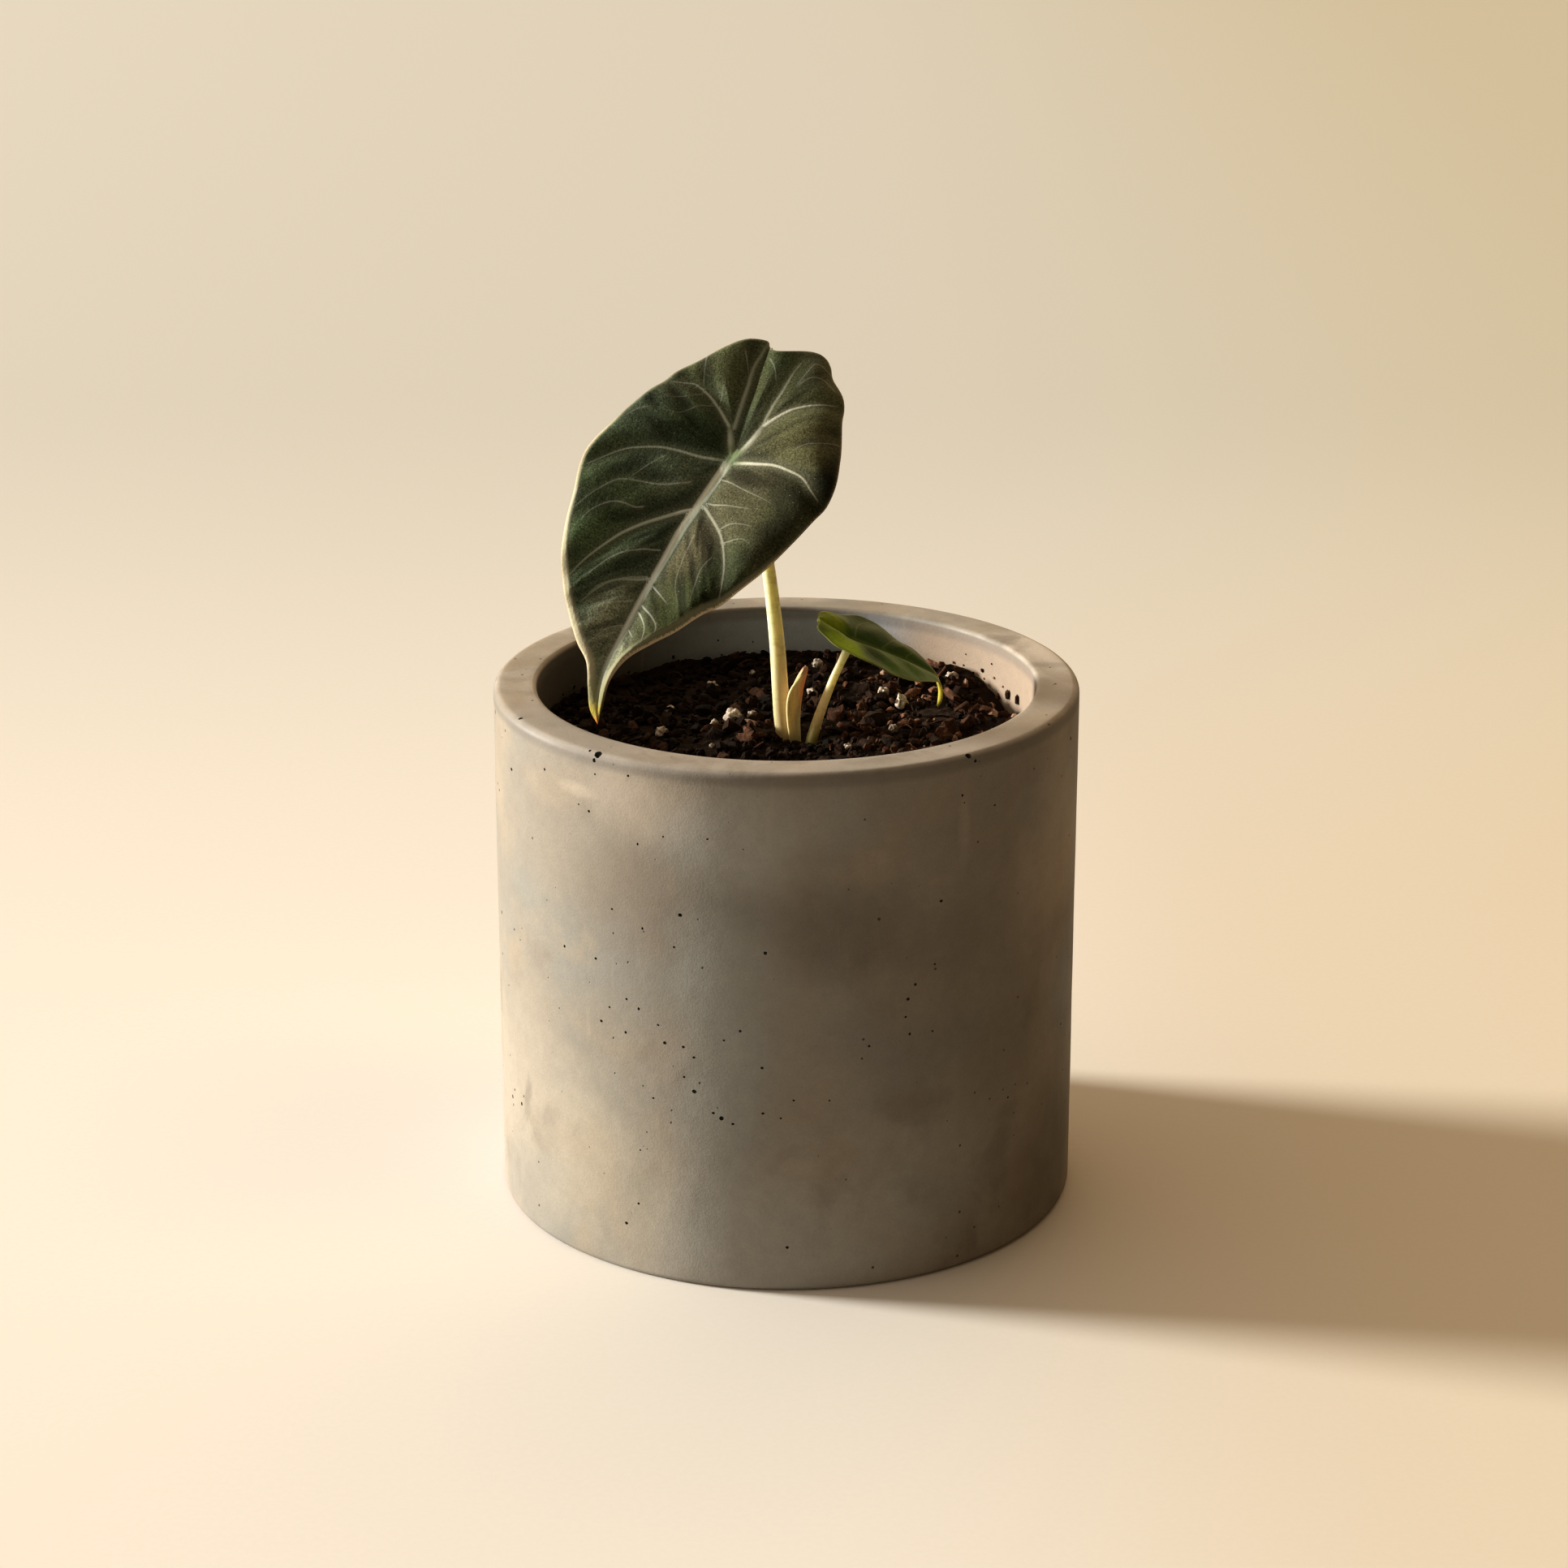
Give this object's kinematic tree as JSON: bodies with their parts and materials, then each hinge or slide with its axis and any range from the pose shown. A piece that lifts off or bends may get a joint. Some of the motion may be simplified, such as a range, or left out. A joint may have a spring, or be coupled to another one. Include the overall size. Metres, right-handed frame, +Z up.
{
  "type": "potted alocasia",
  "caption": "Small potted alocasia with one large dark velvety leaf, one small leaf and a dried sheath, in a round thick-walled concrete pot.",
  "frame": {"origin": "centre of the pot's flat base", "axes": "+Z up, -Y towards the plant's front, where the large leaf's tip hangs forwards and to the left, +X to the right, where the small leaf points"},
  "size_m": [0.1, 0.1, 0.1452],
  "materials": {
    "concrete": "matte cast concrete with small air pits",
    "potting_mix": "matte, crumbly bark and coir mix",
    "perlite": "matte, porous",
    "rootstock": "matte",
    "large_blade": "velvety leaf with silvery veins",
    "small_blade": "satin young leaf",
    "stem": "satin, pale and fleshy",
    "sheath": "dry and papery"
  },
  "bodies": {
    "root": {"pot": "concrete", "soil": "potting_mix", "rootstock": "rootstock", "large_leaf_blade": "large_blade", "large_leaf_stem": "stem", "leaf_sheath": "sheath", "small_leaf_blade": "small_blade", "small_leaf_stem": "stem", "perlite_01": "perlite", "perlite_02": "perlite", "perlite_03": "perlite", "perlite_04": "perlite", "perlite_05": "perlite", "perlite_06": "perlite", "perlite_07": "perlite", "perlite_08": "perlite", "perlite_09": "perlite", "perlite_10": "perlite", "perlite_11": "perlite", "perlite_12": "perlite", "perlite_13": "perlite", "perlite_14": "perlite"}
  },
  "joints": []
}
